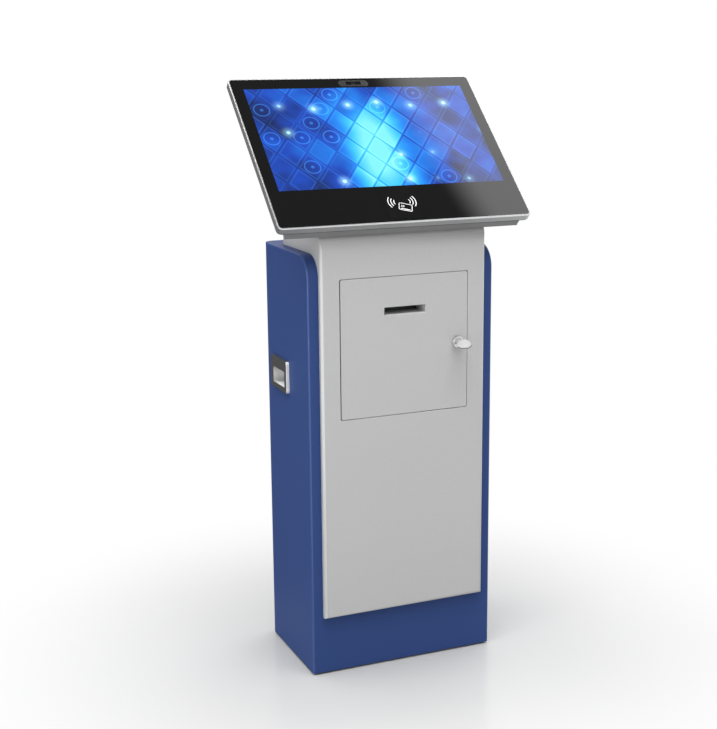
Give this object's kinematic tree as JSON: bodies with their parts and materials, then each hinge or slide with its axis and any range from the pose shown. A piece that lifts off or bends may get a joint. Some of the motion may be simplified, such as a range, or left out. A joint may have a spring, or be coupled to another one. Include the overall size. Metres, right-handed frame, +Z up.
{
  "type": "visitor check-in kiosk",
  "caption": "Floor-standing check-in kiosk: slanted touch screen with camera and card reader field on a sheet metal cabinet with a locked front door, paper slot and side grips.",
  "frame": {"origin": "middle of the bounding box, on the floor", "axes": "+X to the viewer's right, -Y the front with the door and screen, +Z up"},
  "size_m": [0.53, 0.3288, 1.175],
  "materials": {
    "blue_paint": "fine powder coat, satin",
    "grey_paint": "fine-grained silver grey powder coat",
    "silver_frame": "anodised, with a polished edge",
    "screen_glass": "clear glass printed black around the picture",
    "display": "lit picture in blues",
    "bright_steel": "bright plated",
    "sheet_steel": "dark coated sheet",
    "handle_metal": "satin metal, bright on its edge",
    "black_plastic": "moulded, fine grain",
    "camera_trim": "dark grey moulding",
    "camera_glass": "black window",
    "reader_film": "matt black printed film",
    "circuit_board": "green laminate",
    "printer_shell": "dark moulded casing",
    "roller_rubber": "smooth rubber",
    "paper": "thermal paper"
  },
  "bodies": {
    "cabinet": {"base_plate": "sheet_steel", "side_panel_left": "blue_paint", "side_panel_right": "blue_paint", "front_wrap": "blue_paint", "rear_frame": "blue_paint", "rear_cover": "grey_paint", "rear_cover_screws": "bright_steel", "front_cover": "grey_paint", "cover_screws": "bright_steel", "neck_back": "grey_paint", "head_bracket": "sheet_steel", "bracket_screws": "bright_steel", "head_frame": "silver_frame", "touch_glass": "screen_glass", "lcd_panel": "display", "head_housing": "grey_paint", "head_screws": "bright_steel", "camera_plate": "camera_trim", "camera_window": "camera_glass", "camera_module": "black_plastic", "reader_pad": "reader_film", "reader_board": "circuit_board", "display_board": "circuit_board", "hinge_brackets": "bright_steel", "hinge_pins": "bright_steel", "strike_plate": "bright_steel", "shelf": "sheet_steel", "printer_body": "printer_shell", "paper_spindle": "bright_steel", "lid_pin": "bright_steel", "mini_pc": "black_plastic", "power_supply": "sheet_steel", "fan_housing": "black_plastic", "inlet_body": "black_plastic", "cable_duct": "black_plastic", "handle_left": "handle_metal", "handle_right": "handle_metal", "foot_nuts": "bright_steel"},
    "door": {"service_door": "grey_paint", "slot_duct": "grey_paint", "paper_chute": "black_plastic", "lock_barrel": "bright_steel", "lock_nut": "bright_steel"},
    "lock": {"lock_plug": "bright_steel", "lock_cam": "bright_steel", "cam_screw": "bright_steel"},
    "key": {"key": "bright_steel"},
    "printer_lid": {"printer_lid": "printer_shell"},
    "platen": {"platen_roller": "roller_rubber"},
    "roll": {"paper_roll": "paper"},
    "fan": {"fan_rotor": "black_plastic"},
    "rocker": {"power_rocker": "black_plastic"},
    "foot_front_left": {"foot_front_left": "black_plastic"},
    "foot_front_right": {"foot_front_right": "black_plastic"},
    "foot_rear_left": {"foot_rear_left": "black_plastic"},
    "foot_rear_right": {"foot_rear_right": "black_plastic"}
  },
  "joints": [
    {"name": "door_hinge", "type": "hinge", "parent": "cabinet", "child": "door", "pos_m": [-0.1255, -0.10189, 0.52802], "axis": [0, 0, -1], "range_deg": [0, 110]},
    {"name": "lock_turn", "type": "hinge", "parent": "door", "child": "lock", "pos_m": [0.113, -0.10739, 0.66302], "axis": [0, -1, 0], "range_deg": [0, 90]},
    {"name": "key_pull", "type": "slide", "parent": "lock", "child": "key", "axis": [0, -1, 0], "range_m": [0, 0.03]},
    {"name": "lid_hinge", "type": "hinge", "parent": "cabinet", "child": "printer_lid", "pos_m": [0, 0.06661, 0.75502], "axis": [-1, 0, 0], "range_deg": [0, 60]},
    {"name": "roll_spin", "type": "hinge", "parent": "cabinet", "child": "roll", "pos_m": [0, 0.01561, 0.70552], "axis": [1, 0, 0], "continuous": true},
    {"name": "platen_spin", "type": "hinge", "parent": "cabinet", "child": "platen", "pos_m": [0, -0.04239, 0.72952], "axis": [1, 0, 0], "continuous": true},
    {"name": "fan_spin", "type": "hinge", "parent": "cabinet", "child": "fan", "pos_m": [0, 0.16061, 0.74602], "axis": [0, 1, 0], "continuous": true},
    {"name": "rocker_tilt", "type": "hinge", "parent": "cabinet", "child": "rocker", "pos_m": [-0.075, 0.15661, 0.062], "axis": [-1, 0, 0], "range_deg": [0, 14]},
    {"name": "foot_front_left_turn", "type": "hinge", "parent": "cabinet", "child": "foot_front_left", "pos_m": [-0.1705, -0.06639, 0], "axis": [0, 0, 1], "continuous": true},
    {"name": "foot_front_right_turn", "type": "hinge", "parent": "cabinet", "child": "foot_front_right", "pos_m": [0.1705, -0.06639, 0], "axis": [0, 0, 1], "continuous": true},
    {"name": "foot_rear_left_turn", "type": "hinge", "parent": "cabinet", "child": "foot_rear_left", "pos_m": [-0.1705, 0.13361, 0], "axis": [0, 0, 1], "continuous": true},
    {"name": "foot_rear_right_turn", "type": "hinge", "parent": "cabinet", "child": "foot_rear_right", "pos_m": [0.1705, 0.13361, 0], "axis": [0, 0, 1], "continuous": true}
  ],
  "couplings": [
    {"joint": "platen_spin", "follows": "roll_spin", "ratio": 6}
  ]
}
